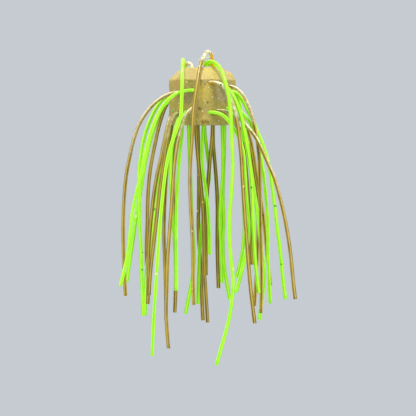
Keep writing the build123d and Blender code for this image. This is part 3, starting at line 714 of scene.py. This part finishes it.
def plug_material():
    material, tree, shader = new_material("soft_plastic", {
        "Subsurface Weight": 0.35,
        "Subsurface Radius": (1.0, 0.72, 0.28),
        "Subsurface Scale": 0.9 * MM,
        "Specular IOR Level": 0.28,
        "Coat Weight": 0.08,
        "Coat Roughness": 0.3,
    })
    place = add_node(tree, "ShaderNodeTexCoord").outputs["Object"]
    height = add_node(tree, "ShaderNodeSeparateXYZ")
    tree.links.new(place, height.inputs["Vector"])
    shoulder = BODY_HEIGHT - CROWN_CHAMFER
    crown = add_node(tree, "ShaderNodeMapRange", {"From Min": shoulder - CROWN_FADE,
                                                  "From Max": shoulder + CROWN_FADE})
    tree.links.new(height.outputs["Z"], crown.inputs["Value"])
    clouds = noise_factor(tree, place, 260, 0.38, 0.66)
    grain = noise_factor(tree, place, 1900, 0.35, 0.65, detail=4.0)
    sides = mixed(tree, clouds, linear("A8954A"), linear("C4AA44"))
    # the crown's colours are paler than the sides': painted top light, for the light falling from above
    painted_lit_tops = mixed(tree, clouds, linear("CCB46C"), linear("D6BE68"))
    colour = mixed(tree, crown.outputs["Result"], sides, painted_lit_tops)
    for centre, inner, outer, tint in PLUG_SHADE_AND_LIGHT_PATCHES:
        colour = mixed(tree, near_factor(tree, place, centre, inner, outer), colour, linear(tint))
    mottle = noise_factor(tree, place, 2300, 0.36, 0.68, detail=2.0, most=0.38)
    colour = mixed(tree, mottle, colour, linear("8E7A3C"))
    glints = noise_factor(tree, place, 3300, 0.58, 0.74, detail=1.0, most=0.45)
    colour = mixed(tree, glints, colour, linear("E6D69C"))
    dusted = mixed(tree, fleck_factor(tree, place, 2300, 0.025, 0.36), colour, linear("E8DCA0"))
    sooted = mixed(tree, fleck_factor(tree, place, 1700, 0.02, 0.30), dusted, linear("6A5620"))
    greened = mixed(tree, fleck_factor(tree, place, 900, 0.03, 0.26), sooted, linear("4FD07A"))
    tree.links.new(greened, shader.inputs["Base Color"])
    rough = add_node(tree, "ShaderNodeMapRange", {"To Min": 0.34, "To Max": 0.58})
    tree.links.new(grain, rough.inputs["Value"])
    tree.links.new(rough.outputs["Result"], shader.inputs["Roughness"])
    add_bump(tree, shader, grain, 0.35, 0.05 * MM)
    return material


def tinted_where(tree, colour, name, tint):
    """The colour, turned to the tint where the mesh's attribute says so: painted highlight, painted glow or wear.
    """
    amount = add_node(tree, "ShaderNodeAttribute", attribute_name=name)
    return mixed(tree, amount.outputs["Fac"], colour, tint)


def strand_material(name, pale, deep, extra, speck_light, speck_dark, arris_highlight, pale_highlight_tint, glow_tint):
    settings = {
        "Subsurface Weight": 0.5,
        "Subsurface Scale": 0.4 * MM,
        "Specular IOR Level": 0.18,
        "Coat Weight": 0.3,
        "Coat Roughness": 0.13,
    }
    settings.update(extra)
    material, tree, shader = new_material(name, settings)
    place = add_node(tree, "ShaderNodeTexCoord").outputs["Object"]
    streaks = noise_factor(tree, place, 330, 0.36, 0.66)
    grain = noise_factor(tree, place, 2600, 0.35, 0.65, detail=4.0)
    colour = mixed(tree, streaks, pale, deep)
    colour = tinted_where(tree, colour, "arris_highlight", arris_highlight)
    speckle = noise_factor(tree, place, 1500, 0.42, 0.66, detail=2.0, most=0.6)
    # painted top highlight and painted glow, with real tearing on the crown loop's leg and its frays
    colour = tinted_where(tree, tinted_where(tree, colour, "backlight_glow", glow_tint), "paled_and_highlit", mixed(tree, speckle, pale_highlight_tint, pale))
    lit = mixed(tree, fleck_factor(tree, place, 900, 0.04, 0.23), colour, speck_light)
    specked = mixed(tree, fleck_factor(tree, place, 760, 0.04, 0.20), lit, speck_dark)
    tree.links.new(specked, shader.inputs["Base Color"])
    rough = add_node(tree, "ShaderNodeMapRange", {"To Min": 0.28, "To Max": 0.5})
    tree.links.new(grain, rough.inputs["Value"])
    tree.links.new(rough.outputs["Result"], shader.inputs["Roughness"])
    add_bump(tree, shader, grain, 0.25, 0.03 * MM)
    return material


# ---------------------------------------------------------------- camera, light and floor

CAMERA_DISTANCE = 1.5
SENSOR_WIDTH = 36.0
VIEW_WIDTH = 90.6 * MM
VIEW_CENTRE = (1.2 * MM, -18.07 * MM)
FLOOR_HEIGHT = -100 * MM
SURROUND = (0.56, 0.60, 0.64, 1.0)
FLOOR_HALF = 6.0
LIGHT_TARGET = (0, 0, -15 * MM)


def make_camera():
    data = bpy.data.cameras.new("camera")
    data.sensor_width = SENSOR_WIDTH
    data.lens = SENSOR_WIDTH * CAMERA_DISTANCE / VIEW_WIDTH
    data.clip_start, data.clip_end = 0.01, 20
    camera = bpy.data.objects.new("camera", data)
    camera.location = (VIEW_CENTRE[0], -CAMERA_DISTANCE, VIEW_CENTRE[1])
    camera.rotation_euler = (math.pi / 2, 0, 0)
    bpy.context.scene.collection.objects.link(camera)
    bpy.context.scene.camera = camera


def make_light(name, place, size, power):
    data = bpy.data.lights.new(name, "AREA")
    data.shape = "DISK"
    data.size = size
    data.energy = power
    light = bpy.data.objects.new(name, data)
    light.location = place
    aim = Vector(LIGHT_TARGET) - Vector(place)
    light.rotation_euler = aim.to_track_quat("-Z", "Y").to_euler()
    bpy.context.scene.collection.objects.link(light)


def make_floor():
    """A wide pale floor that fades into the surround, so that it shows no horizon."""
    mesh = bpy.data.meshes.new("floor")
    corners = [(-FLOOR_HALF, -FLOOR_HALF), (FLOOR_HALF, -FLOOR_HALF), (FLOOR_HALF, FLOOR_HALF),
               (-FLOOR_HALF, FLOOR_HALF)]
    mesh.from_pydata([(x, y, FLOOR_HEIGHT) for x, y in corners], [], [(0, 1, 2, 3)])
    floor = bpy.data.objects.new("floor", mesh)
    bpy.context.scene.collection.objects.link(floor)
    material = bpy.data.materials.new("floor")
    material.use_nodes = True
    tree = material.node_tree
    tree.nodes.clear()
    place = add_node(tree, "ShaderNodeTexCoord").outputs["Object"]
    flat = add_node(tree, "ShaderNodeVectorMath", operation="MULTIPLY")
    flat.inputs[1].default_value = (1, 1, 0)
    tree.links.new(place, flat.inputs[0])
    reach = add_node(tree, "ShaderNodeVectorMath", operation="LENGTH")
    tree.links.new(flat.outputs["Vector"], reach.inputs[0])
    fade = add_node(tree, "ShaderNodeMapRange", {"From Min": 0.22, "From Max": 0.5},
                    interpolation_type="SMOOTHSTEP")
    tree.links.new(reach.outputs["Value"], fade.inputs["Value"])
    paint = add_node(tree, "ShaderNodeBsdfDiffuse", {"Color": SURROUND})
    glow = add_node(tree, "ShaderNodeEmission", {"Color": SURROUND})
    blend = add_node(tree, "ShaderNodeMixShader")
    tree.links.new(fade.outputs["Result"], blend.inputs["Fac"])
    tree.links.new(paint.outputs[0], blend.inputs[1])
    tree.links.new(glow.outputs[0], blend.inputs[2])
    output = add_node(tree, "ShaderNodeOutputMaterial")
    tree.links.new(blend.outputs[0], output.inputs["Surface"])
    mesh.materials.append(material)


def make_world():
    world = bpy.data.worlds.new("surround")
    world.use_nodes = True
    world.node_tree.nodes["Background"].inputs["Color"].default_value = SURROUND
    world.node_tree.nodes["Background"].inputs["Strength"].default_value = 1.0
    bpy.context.scene.world = world
    bpy.context.scene.view_settings.view_transform = "Standard"


# ---------------------------------------------------------------- the whole

make_camera()
make_world()
make_light("key", (-0.02, -0.12, 0.45), 0.20, 1.9)
make_light("fill_left", (-0.40, -0.30, 0.05), 0.25, 0.6)
make_light("fill_right", (0.38, -0.36, 0.06), 0.25, 1.0)
make_floor()

# after the two specks' colours come the tints for the painted corner highlight, the painted top highlight and
# wear, and the painted glow of light shining through
green = strand_material("green_rubber", linear("92E600"), linear("70D000"), {
    "Subsurface Radius": (0.6, 1.0, 0.1),
    # painted glow: the green rubber gives off a little light of its own, which lightens its strands where they
    # lie in shade
    "Emission Color": linear("98F000"),
    "Emission Strength": 0.11,
}, linear("E4FFA0"), linear("2E8A10"), linear("C4FF30"), linear("CCFF78"), linear("9AD000"))
brown = strand_material("amber_rubber", linear("8E7202"), linear("5A4400"), {
    "Subsurface Radius": (1.0, 0.6, 0.15),
    "Sheen Weight": 0.05,
    "Sheen Tint": linear("F4E2A0"),
}, linear("E8C878"), linear("3A2A08"), linear("D2B448"), linear("F6EECB"), linear("E6B60C"))

mouths = []
for colour, routes, lengths, material in (("green", GREEN_ROUTES, GREEN_LENGTHS, green),
                                          ("brown", BROWN_ROUTES, BROWN_LENGTHS, brown)):
    for number, (points, length) in enumerate(zip(routes, lengths), start=1):
        mouths.append(make_strand(colour, number, points, material))
make_plug(mouths, plug_material())
